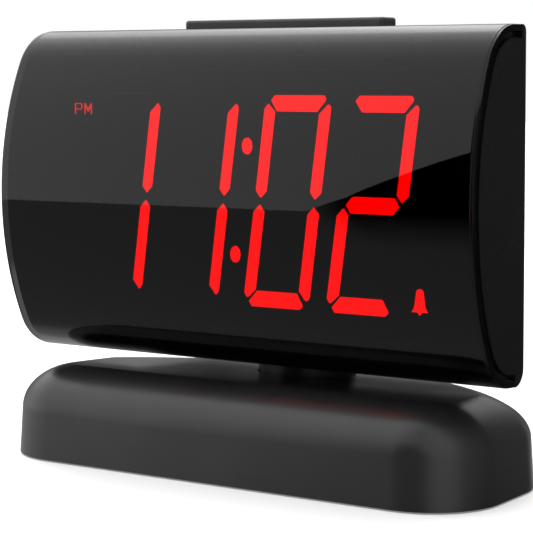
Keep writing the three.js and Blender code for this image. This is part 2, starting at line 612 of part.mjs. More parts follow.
function makeElectronics() {
  const group = new THREE.Group();
  const wallInside = COVER.rearY - COVER.wall;
  const main = box(-68, 68, MAIN_BOARD.y0, MAIN_BOARD.y1, HEAD.centreZ - 30, HEAD.centreZ + 30);
  group.add(named('main_board', main, greenBoard));
  const back = MAIN_BOARD.y1 + 0.1;
  group.add(named('clock_chip', box(-27, -13, back, back + 2.2, 74, 88), matteBlack));
  group.add(named('filter_capacitor', rodY(4, back, back + 9, 12, 66, 20), material(0x1b2a55, 0.4)));
  group.add(named('quartz_crystal', box(-8, 2, back, back + 3.4, 92, 96), steel));
  group.add(named('alarm_buzzer', rodY(7, 17, wallInside - GAP, SPEAKER.x, SPEAKER.z, 24), matteBlack));

  const board = roundedRect(-38, 32, 104, 120, 1);
  const { y0, y1 } = CONTROL_BOARD;
  group.add(named('control_board', alongY(board, y0, y1), greenBoard));
  CONTROL.buttonX.forEach((x, i) => {
    const [px, pz] = [x, CONTROL.buttonZ];
    const body = box(px - 3, px + 3, y1 + 0.1, y1 + 3.6, pz - 3, pz + 3);
    const key = carve(body, { add: [rodY(1.7, y1 + 3, y1 + 4.4, px, pz, 16)] });
    group.add(named(`button_switch_${i + 1}`, key, matteBlack));
  });

  const switchBody = box(ALARM.x - 6, ALARM.x + 6, y1 + 0.1, y1 + 4, ALARM.z - 3, ALARM.z + 3);
  group.add(named('alarm_switch_body', switchBody, steel));

  const dimmerBody = box(DIMMER.x - 5, DIMMER.x + 5, 12, 24, DIMMER.z - 6.5, DIMMER.z - 3.2);
  const dimmerPost = rodZ(2, DIMMER.z - 4, DIMMER.z + 3.4, DIMMER.x, DIMMER.y, 20);
  group.add(named('dimmer_body', carve(dimmerBody, { add: [dimmerPost] }), matteBlack));

  const jackBody = box(JACK.x - 5, JACK.x + 5, 11.5, wallInside - GAP, JACK.z - 5.5, JACK.z + 5.5);
  const bore = new THREE.Shape().absarc(JACK.x, JACK.z, JACK.boreRadius, 0, 2 * Math.PI);
  bore.holes.push(new THREE.Path().absarc(JACK.x, JACK.z, JACK.pinRadius, 0, 2 * Math.PI));
  group.add(named('dc_socket', carve(jackBody, { cut: [alongY(bore, 15, 40)] }), matteBlack));

  const [bx, bz] = [(BAY.x0 + BAY.x1) / 2, (BAY.z0 + BAY.z1) / 2];
  const holder = box(bx - 12.5, bx + 12.5, 16, 24.5, bz - 12.5, bz + 12.5);
  group.add(named('cell_holder', carve(holder, { cut: [rodY(10.4, 18, 30, bx, bz, 36)] }), matteBlack));
  group.add(named('backup_cell', rodY(10, 18.3, 21.5, bx, bz, 36), steel));

  const snoozeBoard = box(-14, 14, SNOOZE.frontY + 1, 7, 114, 115.6);
  const snoozeBody = box(-3, 3, -5, 1, 115.7, 119.4);
  group.add(named('snooze_board', snoozeBoard, greenBoard));
  group.add(named('snooze_switch', carve(snoozeBody, { add: [rodZ(1.7, 119, 120.4, 0, -2, 16)] }),
    matteBlack));
  return group;
}

function makeMovingControls() {
  const group = new THREE.Group();
  const { halfLength, frontY, rearY, cornerRadius } = SNOOZE;
  const top = roundedRect(-halfLength, halfLength, frontY, rearY, cornerRadius);
  const flange = box(-halfLength + 2, halfLength - 2, frontY + 0.6, rearY + 3,
    HEAD_TOP - COVER.wall - GAP - 1.4, HEAD_TOP - COVER.wall - GAP);
  const stem = box(-2.2, 2.2, -3.8, -0.2, 120.4 + SNOOZE.travel + 0.2, HEAD_TOP - 3);
  group.add(named('snooze_bar', carve(alongZ(top, HEAD_TOP - COVER.wall - 1, HEAD_TOP + SNOOZE.rise), {
    add: [flange, stem],
  }), satinBlack));

  const wallInside = COVER.rearY - COVER.wall;
  CONTROL.buttonX.forEach((x, i) => {
    const { buttonRadius: radius, buttonZ: z } = CONTROL;
    const cap = carve(rodY(radius, wallInside - 2, COVER.rearY + 1.4, x, z, 28), {
      add: [rodY(radius + 1.2, wallInside - 2.2, wallInside - GAP, x, z, 28)],
    });
    group.add(named(BUTTON_NAMES[i], cap, satinBlack));
  });

  const knobX = ALARM.x - ALARM.travel / 2;
  const [rear, z] = [COVER.rearY, ALARM.z];
  const knob = carve(box(knobX - 1.8, knobX + 1.8, wallInside - 1, rear + 1.2, z - 1.6, z + 1.6), {
    add: [box(knobX - 3, knobX + 3, wallInside - 2, wallInside - GAP, z - 2.6, z + 2.6)],
  });
  group.add(named('alarm_switch_knob', knob, satinBlack));

  const wheel = new THREE.Shape();
  for (let i = 0; i < DIMMER.teeth * 2; i += 1) {
    const radius = i % 2 ? DIMMER.radius : DIMMER.radius - 0.5;
    const angle = Math.PI * i / DIMMER.teeth;
    const [px, py] = [DIMMER.x + radius * Math.cos(angle), DIMMER.y + radius * Math.sin(angle)];
    if (i) wheel.lineTo(px, py);
    else wheel.moveTo(px, py);
  }
  wheel.closePath();
  wheel.holes.push(new THREE.Path().absarc(DIMMER.x, DIMMER.y, 2.3, 0, 2 * Math.PI));
  group.add(named('dimmer_wheel',
    alongZ(wheel, DIMMER.z - DIMMER.halfThickness, DIMMER.z + DIMMER.halfThickness), matteBlack));

  const doorShape = roundedRect(BAY.x0 + GAP, BAY.x1 - GAP, BAY.z0 + GAP, BAY.z1 - GAP, 1.8);
  const doorFront = COVER.rearY - BAY.lipDepth + 0.1;
  group.add(named('battery_door', alongY(doorShape, doorFront, COVER.rearY), satinBlack));
  return group;
}

// ---------------------------------------------------------------- assembly

const clock = new THREE.Group();
clock.name = 'alarm_clock';
clock.add(makeBase());
clock.add(makeSwivel());
clock.add(makeHeadShells());
clock.add(makeDisplay());
clock.add(makeElectronics());
clock.add(makeMovingControls());

export default clock;
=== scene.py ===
# Bedside alarm clock: the finished look of every visible piece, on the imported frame.
import json
import math

import bmesh
import bpy
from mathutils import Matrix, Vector

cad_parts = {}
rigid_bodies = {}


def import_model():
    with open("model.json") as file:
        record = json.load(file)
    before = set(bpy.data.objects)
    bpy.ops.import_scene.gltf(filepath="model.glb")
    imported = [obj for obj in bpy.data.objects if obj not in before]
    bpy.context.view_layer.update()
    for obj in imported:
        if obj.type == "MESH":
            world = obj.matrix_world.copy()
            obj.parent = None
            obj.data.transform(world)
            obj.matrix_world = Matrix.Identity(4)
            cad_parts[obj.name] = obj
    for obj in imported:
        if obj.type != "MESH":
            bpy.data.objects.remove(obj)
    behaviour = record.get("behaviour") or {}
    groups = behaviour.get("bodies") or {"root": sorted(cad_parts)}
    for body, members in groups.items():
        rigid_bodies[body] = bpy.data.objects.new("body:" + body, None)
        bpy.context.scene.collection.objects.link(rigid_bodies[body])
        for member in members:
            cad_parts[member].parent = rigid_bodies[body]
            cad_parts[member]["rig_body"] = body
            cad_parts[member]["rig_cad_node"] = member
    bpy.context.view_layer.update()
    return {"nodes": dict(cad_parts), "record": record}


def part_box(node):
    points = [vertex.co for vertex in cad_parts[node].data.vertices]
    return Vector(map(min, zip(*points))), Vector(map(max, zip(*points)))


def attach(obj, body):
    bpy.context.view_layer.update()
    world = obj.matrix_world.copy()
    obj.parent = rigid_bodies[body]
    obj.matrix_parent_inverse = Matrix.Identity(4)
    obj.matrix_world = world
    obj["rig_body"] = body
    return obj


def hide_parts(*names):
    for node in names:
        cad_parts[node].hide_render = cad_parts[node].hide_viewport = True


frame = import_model()

MM = 0.001
NODES = frame["nodes"]
RECORD_SLOTS = {entry["node"]: entry["material_slot"] for entry in frame["record"]["subparts"]}

# ------------------------------------------------------------------ sizes the pieces share

LENS_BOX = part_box("display_lens")
HOUSING_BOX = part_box("display_housing")
BASE_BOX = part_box("base_shell")
NECK_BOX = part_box("swivel_neck")
SNOOZE_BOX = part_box("snooze_bar")
MASK_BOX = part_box("segment_mask")

HALF_WIDTH = LENS_BOX[1].x
HEAD_TOP, HEAD_BOTTOM = LENS_BOX[1].z, LENS_BOX[0].z
HEAD_MIDDLE = (HEAD_TOP + HEAD_BOTTOM) / 2
LENS_FRONT = LENS_BOX[0].y
HOUSING_REAR = HOUSING_BOX[1].y
BULGE_RADIUS = 93.1 * MM
CORNER_RADIUS = 17.6 * MM
LENS_THICKNESS = 2 * MM
LENS_TOP_END, LENS_BOTTOM_END = -10.3 * MM, -13.3 * MM
SEAT = LENS_THICKNESS + 0.3 * MM
END_GROOVE = 1.5 * MM

WELD_GAP = 0.002 * MM
SMOOTH_ANGLE = 30

# ------------------------------------------------------------------ modelling by hand


def only(piece):
    """Leaves edit mode and selects one piece."""
    if bpy.context.object and bpy.context.object.mode == "EDIT":
        bpy.ops.object.mode_set(mode="OBJECT")
    bpy.ops.object.select_all(action="DESELECT")
    piece.select_set(True)
    bpy.context.view_layer.objects.active = piece


def edit(piece):
    """Opens one piece in edit mode, on its points."""
    only(piece)
    bpy.ops.object.mode_set(mode="EDIT")
    bpy.ops.mesh.select_mode(type="VERT")


def move(offset):
    bpy.ops.transform.translate(value=offset)


def extrude(offset):
    bpy.ops.mesh.extrude_region_move(TRANSFORM_OT_translate={"value": offset})


def pick(piece, kind, test):
    """Selects the edges or faces of the piece in edit mode that the test accepts."""
    bpy.ops.mesh.select_mode(type=kind)
    bpy.ops.mesh.select_all(action="DESELECT")
    shape = bmesh.from_edit_mesh(piece.data)
    for item in shape.edges if kind == "EDGE" else shape.faces:
        item.select_set(test(item))
    shape.select_flush_mode()
    bmesh.update_edit_mesh(piece.data)


def tidy(piece, smooth_angle=SMOOTH_ANGLE):
    """Welds, turns the faces outward and smooths all but the sharp edges."""
    edit(piece)
    bpy.ops.mesh.select_all(action="SELECT")
    bpy.ops.mesh.remove_doubles(threshold=WELD_GAP)
    bpy.ops.mesh.normals_make_consistent(inside=False)
    bpy.ops.object.mode_set(mode="OBJECT")
    bpy.ops.object.shade_smooth_by_angle(angle=math.radians(smooth_angle))
    return piece


def draw(name, points):
    """One vertex drawn on through the points, then closed and filled as a face."""
    bpy.ops.object.select_all(action="DESELECT")
    bpy.ops.mesh.primitive_plane_add(size=MM, location=(0, 0, 0))
    piece = bpy.context.object
    piece.name = name
    edit(piece)
    bpy.ops.mesh.select_all(action="SELECT")
    bpy.ops.mesh.merge(type="CENTER")
    move(points[0])
    for here, there in zip(points, points[1:]):
        extrude(Vector(there) - Vector(here))
    bpy.ops.mesh.select_all(action="SELECT")
    bpy.ops.mesh.edge_face_add()
    return piece


def follow(piece, rings):
    """Extrudes the drawn face through the rings, each point to its own place in the next one."""
    for before, after in zip(rings, rings[1:]):
        extrude((0, 0, 0))
        shape = bmesh.from_edit_mesh(piece.data)
        for vertex in [v for v in shape.verts if v.select]:
            gaps = [math.dist(vertex.co, place) for place in before]
            vertex.co = after[gaps.index(min(gaps))]
        bmesh.update_edit_mesh(piece.data)


def bar_of(name, points, length):
    """A solid with the drawn outline, run along the length vector."""
    piece = draw(name, points)
    extrude(length)
    return tidy(piece)


def soften(piece, width, segments=3, limit=35):
    """Rounds the edges of the piece that turn by more than the limit, in degrees."""
    only(piece)
    rounding = piece.modifiers.new("rounding", "BEVEL")
    rounding.width = width
    rounding.segments = segments
    rounding.limit_method = "ANGLE"
    rounding.angle_limit = math.radians(limit)
    bpy.ops.object.modifier_apply(modifier=rounding.name)
    bpy.ops.object.shade_smooth_by_angle(angle=math.radians(SMOOTH_ANGLE))
    return piece


def level_flats(piece):
    """Shades the piece's flats truly flat, so that only its rounded edges turn the light."""
    only(piece)
    shading = piece.modifiers.new("shading", "WEIGHTED_NORMAL")
    shading.mode = "FACE_AREA"
    shading.weight = 50
    shading.keep_sharp = True
    bpy.ops.object.modifier_apply(modifier=shading.name)
    return piece


def cut(piece, cutters):
    """Cuts the cutters out of the piece and throws them away."""
    for cutter in cutters:
        only(piece)
        cutting = piece.modifiers.new("cutting", "BOOLEAN")
        cutting.operation = "DIFFERENCE"
        cutting.solver = "EXACT"
        cutting.object = cutter
        bpy.ops.object.modifier_apply(modifier=cutting.name)
        bpy.data.objects.remove(cutter)
    return piece


def block(name, low, high):
    """A box between two corners, its place in its mesh."""
    bpy.ops.object.select_all(action="DESELECT")
    bpy.ops.mesh.primitive_cube_add(size=1, location=(Vector(low) + Vector(high)) / 2)
    piece = bpy.context.object
    piece.name = name
    piece.scale = Vector(high) - Vector(low)
    bpy.ops.object.transform_apply(location=True, rotation=True, scale=True)
    return piece


def rod(name, radius, start, end, sides=96):
    """A round bar from start to end, its place in its mesh."""
    start, end = Vector(start), Vector(end)
    bpy.ops.object.select_all(action="DESELECT")
    bpy.ops.mesh.primitive_cylinder_add(
        vertices=sides, radius=radius, depth=(end - start).length,
        location=(start + end) / 2, rotation=(end - start).to_track_quat("Z", "Y").to_euler())
    piece = bpy.context.object
    piece.name = name
    bpy.ops.object.transform_apply(location=True, rotation=True, scale=True)
    return piece


def refined(node, width):
    """A copy of a CAD piece, welded, with its flats merged and its edges rounded."""
    piece = NODES[node].copy()
    piece.data = NODES[node].data.copy()
    piece.name = node + "_finished"
    piece.parent = None
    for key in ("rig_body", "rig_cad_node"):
        if key in piece:
            del piece[key]
    bpy.context.scene.collection.objects.link(piece)
    edit(piece)
    bpy.ops.mesh.select_all(action="SELECT")
    bpy.ops.mesh.remove_doubles(threshold=WELD_GAP)
    bpy.ops.mesh.dissolve_limited(angle_limit=math.radians(1))
    bpy.ops.object.mode_set(mode="OBJECT")
    return level_flats(soften(piece, width, segments=2))


def arc(centre, radius, start, end, steps):
    """Points of an arc, as pairs, from one angle to the other, in degrees."""
    turns = [math.radians(start + (end - start) * i / steps) for i in range(steps + 1)]
    return [(centre[0] + radius * math.cos(t), centre[1] + radius * math.sin(t)) for t in turns]


# ------------------------------------------------------------------ finishes


def finish(name):
    """A new material and its shader, with the nodes and links of its tree."""
    surface = bpy.data.materials.new(name)
    surface.use_nodes = True
    tree = surface.node_tree
    return surface, tree.nodes["Principled BSDF"], tree


def noise(tree, scale, detail, roughness=0.5, stretch=(1, 1, 1)):
    """A noise pattern that stays with the piece."""
    place = tree.nodes.new("ShaderNodeTexCoord")
    turn = tree.nodes.new("ShaderNodeMapping")
    turn.inputs["Scale"].default_value = stretch
    tree.links.new(place.outputs["Object"], turn.inputs["Vector"])
    pattern = tree.nodes.new("ShaderNodeTexNoise")
    pattern.inputs["Scale"].default_value = scale
    pattern.inputs["Detail"].default_value = detail
    pattern.inputs["Roughness"].default_value = roughness
    tree.links.new(turn.outputs["Vector"], pattern.inputs["Vector"])
    return pattern.outputs["Fac"]


def ramp(tree, source, stops):
    """Maps a pattern's value to a colour through two stops of (position, colour)."""
    node = tree.nodes.new("ShaderNodeValToRGB")
    tree.links.new(source, node.inputs["Fac"])
    for mark, (position, colour) in zip(node.color_ramp.elements, stops):
        mark.position = position
        mark.color = (*colour, 1)
    return node.outputs["Color"]


def spread(tree, source, low, high, to_low, to_high):
    """Maps a value from one range to another, held at its ends."""
    node = tree.nodes.new("ShaderNodeMapRange")
    tree.links.new(source, node.inputs["Value"])
    limits = {"From Min": low, "From Max": high, "To Min": to_low, "To Max": to_high}
    for socket, value in limits.items():
        node.inputs[socket].default_value = value
    return node.outputs["Result"]


def bump(tree, shader, source, strength, distance):
    """Lets a pattern stand up from the surface."""
    node = tree.nodes.new("ShaderNodeBump")
    node.inputs["Strength"].default_value = strength
    node.inputs["Distance"].default_value = distance
    tree.links.new(source, node.inputs["Height"])
    tree.links.new(node.outputs["Normal"], shader.inputs["Normal"])


def moulded(name, colour, roughness, grain=2600, depth=0.012, drift=0.12, gloss=0.5):
    """Moulded plastic: a fine spark-eroded grain, slow drifts in tone and in sheen."""
    surface, shader, tree = finish(name)
    sheen_swing = 0.03
    dark = [c * (1 - drift) for c in colour]
    light = [c * (1 + drift) for c in colour]
    tone = ramp(tree, noise(tree, scale=38, detail=3), [(0.35, dark), (0.65, light)])
    tree.links.new(tone, shader.inputs["Base Color"])
    sheen = spread(tree, noise(tree, scale=90, detail=5, roughness=0.6), 0.3, 0.7,
                   roughness - sheen_swing, roughness + sheen_swing)
    tree.links.new(sheen, shader.inputs["Roughness"])
    pits = noise(tree, scale=grain, detail=2, roughness=0.6)
    bump(tree, shader, pits, strength=0.35, distance=depth * MM)
    shader.inputs["IOR"].default_value = 1.5
    shader.inputs["Specular IOR Level"].default_value = gloss
    return surface


def metal(name, colour, roughness, stretch=(1, 1, 30)):
    """Drawn or turned metal: fine lines along one way and a little mottling."""
    surface, shader, tree = finish(name)
    mottled = [c * 0.85 for c in colour]
    tone = ramp(tree, noise(tree, scale=60, detail=4), [(0.3, mottled), (0.7, colour)])
    tree.links.new(tone, shader.inputs["Base Color"])
    lines = noise(tree, scale=900, detail=3, roughness=0.6, stretch=stretch)
    sheen = spread(tree, lines, 0.3, 0.7, roughness - 0.06, roughness + 0.08)
    tree.links.new(sheen, shader.inputs["Roughness"])
    bump(tree, shader, lines, strength=0.2, distance=0.01 * MM)
    shader.inputs["Metallic"].default_value = 1.0
    return surface


def smoked_lens():
    """Polished smoke-tinted acrylic, with the faintest haze from wiping."""
    surface, shader, tree = finish("smoked_lens")
    smoke, thin_smoke = (0.12, 0.115, 0.12), (0.13, 0.125, 0.13)
    tint = ramp(tree, noise(tree, scale=14, detail=2), [(0.3, smoke), (0.7, thin_smoke)])
    tree.links.new(tint, shader.inputs["Base Color"])
    wiping = noise(tree, scale=45, detail=6, roughness=0.65, stretch=(1, 1, 3))
    tree.links.new(spread(tree, wiping, 0.45, 0.8, 0.0, 0.02), shader.inputs["Roughness"])
    shader.inputs["Transmission Weight"].default_value = 1.0
    shader.inputs["IOR"].default_value = 1.47
    return surface


def light_guide(name, colour, strength):
    """A red guide lit from behind, its glow very slightly uneven."""
    surface, shader, tree = finish(name)
    shader.inputs["Base Color"].default_value = (0.25, 0.004, 0.004, 1)
    shader.inputs["Roughness"].default_value = 0.45
    dimmer = [c * 0.94 for c in colour]
    glow = ramp(tree, noise(tree, scale=120, detail=2), [(0.3, dimmer), (0.7, colour)])
    tree.links.new(glow, shader.inputs["Emission Color"])
    shader.inputs["Emission Strength"].default_value = strength
    return surface


def circuit_board():
    """Green solder mask with copper runs showing faintly through it."""
    surface, shader, tree = finish("circuit_board")
    place = tree.nodes.new("ShaderNodeTexCoord")
    runs = tree.nodes.new("ShaderNodeTexBrick")
    tree.links.new(place.outputs["Object"], runs.inputs["Vector"])
    runs.inputs["Scale"].default_value = 160
    runs.inputs["Color1"].default_value = (0.01, 0.09, 0.035, 1)
    runs.inputs["Color2"].default_value = (0.012, 0.11, 0.04, 1)
    runs.inputs["Mortar"].default_value = (0.03, 0.2, 0.07, 1)
    runs.inputs["Mortar Size"].default_value = 0.03
    tree.links.new(runs.outputs["Color"], shader.inputs["Base Color"])
    sheen = spread(tree, noise(tree, scale=200, detail=3), 0.3, 0.7, 0.3, 0.45)
    tree.links.new(sheen, shader.inputs["Roughness"])
    return surface


DEAD_GLOSS = 0.05
FINISHES = {
    "base_body": moulded("base_satin", (0.0165, 0.0165, 0.0168), 0.31, depth=0.006, gloss=0.8),
    "neck_body": moulded("neck_satin", (0.018, 0.018, 0.0185), 0.30, depth=0.006),
    "head_body": moulded("housing_black", (0.0035, 0.0035, 0.0038), 0.26, depth=0.0004, gloss=0.4),
    "cover_body": moulded("cover_grained", (0.012, 0.012, 0.0125), 0.48, grain=1900, depth=0.03),
    "snooze_body": moulded("snooze_satin", (0.058, 0.058, 0.059), 0.38, depth=0.008),
    "button_caps": moulded("button_satin", (0.03, 0.03, 0.031), 0.42),
    "thumb_wheel": moulded("thumb_wheel_black", (0.012, 0.012, 0.012), 0.5),
    "inner_plastic": moulded("plate_grained", (0.015, 0.015, 0.015), 0.6, grain=1500, depth=0.03),
    "display_mask": moulded("mask_dead_black", (0.0012, 0.0012, 0.0012), 0.9, drift=0.05,
                            gloss=DEAD_GLOSS),
    "component_black": moulded("component_black", (0.01, 0.01, 0.011), 0.5),
    "socket_body": moulded("socket_black", (0.008, 0.008, 0.008), 0.4),
    "capacitor_sleeve": moulded("capacitor_sleeve", (0.01, 0.03, 0.11), 0.35),
    "acetal": moulded("acetal_white", (0.7, 0.69, 0.65), 0.4),
    "feet_rubber": moulded("foot_rubber", (0.01, 0.01, 0.01), 0.8, grain=900, depth=0.05),
    "ballast": metal("ballast_cast", (0.2, 0.2, 0.21), 0.6, (1, 1, 1)),
    "steel": metal("plated_steel", (0.6, 0.6, 0.61), 0.32),
    "screws": metal("black_zinc_screws", (0.09, 0.09, 0.095), 0.35),
    "cell_can": metal("nickel_can", (0.68, 0.67, 0.64), 0.22, (30, 1, 1)),
    "circuit_board": circuit_board(),
    "lens": smoked_lens(),
    "digit_light": light_guide("digit_glow", (1.0, 0.0, 0.0), 10.5),
    "indicator_light": light_guide("indicator_glow", (1.0, 0.01, 0.01), 5.5),
}
UNLIT = moulded("digit_unlit", (0.0013, 0.0011, 0.0011), 0.9, gloss=DEAD_GLOSS)
BELL_GLOW = light_guide("bell_glow", (1.0, 0.0, 0.0), 10.0)


def dress(piece, slot, body=None, replaced=(), surface=None):
    """Gives the piece the finish of its record slot, attaches it to its body and hides the CAD
    pieces it replaces.
    """
    piece.data.materials.clear()
    piece.data.materials.append(surface or FINISHES[slot])
    if body:
        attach(piece, body)
    if replaced:
        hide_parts(*replaced)


# ------------------------------------------------------------------ head: lens and housing

# How the lens eases into each end: (distance from the end, depth below the full section), in mm.
LENS_END = [(0, 0.34), (0.08, 0.2), (0.25, 0.15), (0.74, 0.15), (0.79, 0.07), (0.87, 0.02),
            (1.0, 0), (1.4, 0)]


def front_curve(offset):
    """Side view of the head's front, set in from the lens' outer face, from top to bottom."""
    corner_steps, bulge_steps = 20, 48
    corner_z = (HEAD_TOP - HEAD_BOTTOM) / 2 - CORNER_RADIUS
    reach = math.sqrt((BULGE_RADIUS - CORNER_RADIUS) ** 2 - corner_z ** 2)
    bulge_y = LENS_FRONT + BULGE_RADIUS
    corner_y = bulge_y - reach
    turn = 180 - math.degrees(math.atan2(corner_z, reach))
    small = CORNER_RADIUS - offset
    upper = arc((corner_y, HEAD_MIDDLE + corner_z), small, 90, turn, corner_steps)
    middle = arc((bulge_y, HEAD_MIDDLE), BULGE_RADIUS - offset, turn, 360 - turn, bulge_steps)
    lower = arc((corner_y, HEAD_MIDDLE - corner_z), small, 360 - turn, 270, corner_steps)
    return upper + middle[1:] + lower[1:]


def make_lens():
    """The curved lens, run from end to end, with eased ends and a fine line near each."""
    inner = [(LENS_TOP_END, HEAD_TOP - LENS_THICKNESS), *front_curve(LENS_THICKNESS),
             (LENS_BOTTOM_END, HEAD_BOTTOM + LENS_THICKNESS)]

    def section(x, offset):
        outer = [(LENS_TOP_END, HEAD_TOP - offset), *front_curve(offset),
                 (LENS_BOTTOM_END, HEAD_BOTTOM + offset)]
        return [(x, y, z) for y, z in outer + inner[::-1]]

    stations = [section(-HALF_WIDTH + x * MM, offset * MM) for x, offset in LENS_END]
    stations += [section(HALF_WIDTH - x * MM, offset * MM) for x, offset in LENS_END[::-1]]
    lens = draw("curved_lens", stations[0])
    follow(lens, stations)
    tidy(lens)
    dress(lens, "lens", "head", ["display_lens"])


def housing_section(offset):
    """Side view of the housing, its front curve offset from the lens."""
    top_radius, bottom_radius = 2.2 * MM, 5.2 * MM
    top_end, bottom_end = LENS_TOP_END + 0.3 * MM, LENS_BOTTOM_END + 0.3 * MM
    return [
        *arc((HOUSING_REAR - top_radius, HEAD_TOP - top_radius), top_radius, 0, 90, 8),
        (top_end, HEAD_TOP),
        (top_end, HEAD_TOP - offset),
        *front_curve(offset),
        (bottom_end, HEAD_BOTTOM + offset),
        (bottom_end, HEAD_BOTTOM),
        *arc((HOUSING_REAR - bottom_radius, HEAD_BOTTOM + bottom_radius), bottom_radius,
             270, 360, 10),
    ]


def make_housing_core():
    """The housing's hollow body, open at the display window and towards the rear cover."""
    shell = 2 * MM
    inner_x, hollow_x = HALF_WIDTH - END_GROOVE, HALF_WIDTH - 2.7 * MM
    wall, rear = SEAT + shell, HOUSING_REAR - shell
    window_x, window_front, window_rear, window_z = 76.5 * MM, -60 * MM, -24 * MM, 39 * MM
    hole_x, hole_margin = 50 * MM, 9 * MM
    core = bar_of("housing_core", [(-inner_x, y, z) for y, z in housing_section(SEAT)],
                  (2 * inner_x, 0, 0))
    hollow = bar_of("hollow", [(-hollow_x, rear, HEAD_TOP - wall),
                               *((-hollow_x, y, z) for y, z in front_curve(wall)),
                               (-hollow_x, rear, HEAD_BOTTOM + wall)], (2 * hollow_x, 0, 0))
    window = block("window", (-window_x, window_front, HEAD_MIDDLE - window_z),
                   (window_x, window_rear, HEAD_MIDDLE + window_z))
    rear_hole = block("rear_hole", (-hole_x, rear - shell, HEAD_BOTTOM + hole_margin),
                      (hole_x, 0, HEAD_TOP - hole_margin))
    cut(core, [hollow, window, rear_hole])
    level_flats(soften(core, 0.15 * MM, 2, 50))
    dress(core, "head_body", "head", ["display_housing"])


def make_end_plates():
    """A plate at each end of the housing, set in behind the lens' end, its rear edge rounded."""
    thickness, set_in, rear_rounding, near = 2.6 * MM, 1.6 * MM, 1.6 * MM, 0.01 * MM

    def on_rear_edge(edge):
        return all(v.co.y > HOUSING_REAR - near and abs(v.co.x) > HALF_WIDTH - near
                   for v in edge.verts)

    for side, name in ((-1, "left_end_plate"), (1, "right_end_plate")):
        start = side * (HALF_WIDTH - thickness)
        plate = bar_of(name, [(start, y, z) for y, z in housing_section(SEAT + set_in)],
                       (side * thickness, 0, 0))
        edit(plate)
        pick(plate, "EDGE", on_rear_edge)
        bpy.ops.mesh.bevel(offset=rear_rounding, segments=5)
        tidy(plate)
        level_flats(soften(plate, 0.4 * MM, 3, 40))
        dress(plate, "head_body", "head")


# ------------------------------------------------------------------ head: digits and indicators

# A digit's bars about its middle, upright, in mm. SLANT leans them, BAR_RISE scales their heights.
SLANT = 0.131
BAR_RISE = 0.988
TOP_BAR = [(-9.3, 29.6), (-8.1, 31.1), (8.1, 31.1), (9.3, 29.6), (6.85, 26.4), (-6.85, 26.4)]
MIDDLE_BAR = [(-8.55, 0), (-6.75, 2.35), (6.75, 2.35), (8.55, 0), (6.75, -2.35), (-6.75, -2.35)]
UPPER_RIGHT_BAR = [(10.2, 28.5), (11.25, 27.15), (11.15, 3.2), (9.4, 1.1), (7.55, 3.2),
                   (7.6, 25.75)]
BARS = {
    "a": TOP_BAR,
    "b": UPPER_RIGHT_BAR,
    "c": [(x, -z) for x, z in UPPER_RIGHT_BAR],
    "d": [(x, -z) for x, z in TOP_BAR],
    "e": [(-x, -z) for x, z in UPPER_RIGHT_BAR],
    "f": [(-x, z) for x, z in UPPER_RIGHT_BAR],
    "g": MIDDLE_BAR,
}
SHOWN = {
    "digit_hours_tens": "bc",
    "digit_hours_units": "bc",
    "digit_minutes_tens": "abcdef",
    "digit_minutes_units": "abdeg",
}
NUDGES = {"digit_hours_tens": 0.55, "digit_hours_units": 0.4}
GUIDE_FRONT = MASK_BOX[0].y - 0.1 * MM
GUIDE_DEPTH, SIGN_DEPTH = 1.2 * MM, 0.35 * MM


def raised(name, outlines, depth=GUIDE_DEPTH):
    """Outlines in millimetres, each raised from the guides' front plane, joined in one piece."""
    parts = [bar_of(name, [(x * MM, GUIDE_FRONT, z * MM) for x, z in outline], (0, depth, 0))
             for outline in outlines]
    bpy.ops.object.select_all(action="DESELECT")
    for part in parts:
        part.select_set(True)
    bpy.context.view_layer.objects.active = parts[0]
    if len(parts) > 1:
        bpy.ops.object.join()
    joined = bpy.context.object
    joined.name = name
    return soften(joined, 0.05 * MM, 2, 50)


def make_digits():
    """The four slanted digits, each as a lit piece and an unlit piece."""
    for node, lit in SHOWN.items():
        low, high = (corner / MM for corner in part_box(node))
        middle = (low + high) / 2 + Vector((NUDGES.get(node, 0), 0, 0))

        def leaning(outline):
            return [(middle.x + x + z * SLANT, middle.z + z * BAR_RISE) for x, z in outline]

        on = raised(node + "_lit", [leaning(BARS[bar]) for bar in lit])
        dress(on, "digit_light", "head", [node])
        off = raised(node + "_unlit", [leaning(BARS[bar]) for bar in BARS if bar not in lit])
        dress(off, "digit_light", "head", surface=UNLIT)


def make_colon():
    """Two upright oval dots on the digits' slant."""
    low, high = (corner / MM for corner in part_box("colon_light_guide"))
    middle = (low + high) / 2
    spacing, half_width, half_height, sides = 15.9, 1.75, 2.4, 32
    turns = [2 * math.pi * i / sides for i in range(sides)]
    dots = []
    for side in (-1, 1):
        centre_x, centre_z = middle.x + side * spacing * SLANT, middle.z + side * spacing
        dots.append([(centre_x + half_width * math.cos(t), centre_z + half_height * math.sin(t))
                     for t in turns])
    dress(raised("colon_dots", dots), "digit_light", "head", ["colon_light_guide"])


